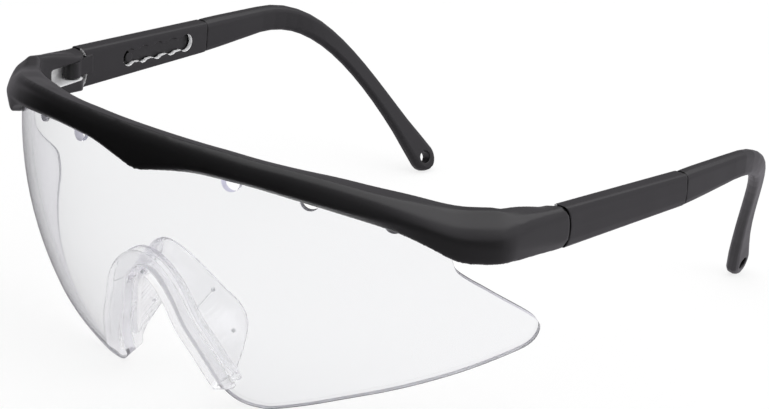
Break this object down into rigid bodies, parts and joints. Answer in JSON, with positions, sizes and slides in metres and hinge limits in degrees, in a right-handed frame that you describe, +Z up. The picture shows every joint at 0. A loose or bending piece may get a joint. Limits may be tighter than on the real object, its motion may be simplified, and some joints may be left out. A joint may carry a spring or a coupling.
{
  "type": "squash goggles",
  "caption": "Protective sports goggles: one curved clear lens hung in a black brow frame, with a clear nose piece and folding temples whose bent tips slide to set their length.",
  "frame": {"origin": "centre of the bottom face of the bounding box: on the ground under the middle of the goggles as they stand on the lens lobes and the temple tips, temples open and tips pushed in", "axes": "+X towards the wearer's left, +Y from the lens towards the wearer's ears, +Z up"},
  "size_m": [0.1522, 0.1633, 0.0654],
  "materials": {
    "frame_black": "satin black injection-moulded nylon",
    "lens_clear": "clear polished polycarbonate",
    "nose_clear": "clear soft moulded vinyl",
    "temple_black": "satin charcoal-black nylon",
    "pin_steel": "plain steel pin"
  },
  "bodies": {
    "front": {"brow_frame": "frame_black", "lens": "lens_clear", "nose_piece": "nose_clear", "hinge_pin_left": "pin_steel", "hinge_pin_right": "pin_steel"},
    "sleeve_left": {"temple_sleeve_left": "temple_black"},
    "sleeve_right": {"temple_sleeve_right": "temple_black"},
    "tip_left": {"temple_tip_left": "temple_black"},
    "tip_right": {"temple_tip_right": "temple_black"}
  },
  "joints": [
    {"name": "fold_left", "type": "hinge", "parent": "front", "child": "sleeve_left", "pos_m": [0.0723, -0.02559, 0.0476], "axis": [0, 0, 1], "range_deg": [0, 90]},
    {"name": "fold_right", "type": "hinge", "parent": "front", "child": "sleeve_right", "pos_m": [-0.0723, -0.02559, 0.0476], "axis": [0, 0, -1], "range_deg": [0, 82]},
    {"name": "length_left", "type": "slide", "parent": "sleeve_left", "child": "tip_left", "axis": [0, 0.9979, -0.0645], "range_m": [0, 0.02]},
    {"name": "length_right", "type": "slide", "parent": "sleeve_right", "child": "tip_right", "axis": [0, 0.9979, -0.0645], "range_m": [0, 0.02]}
  ]
}
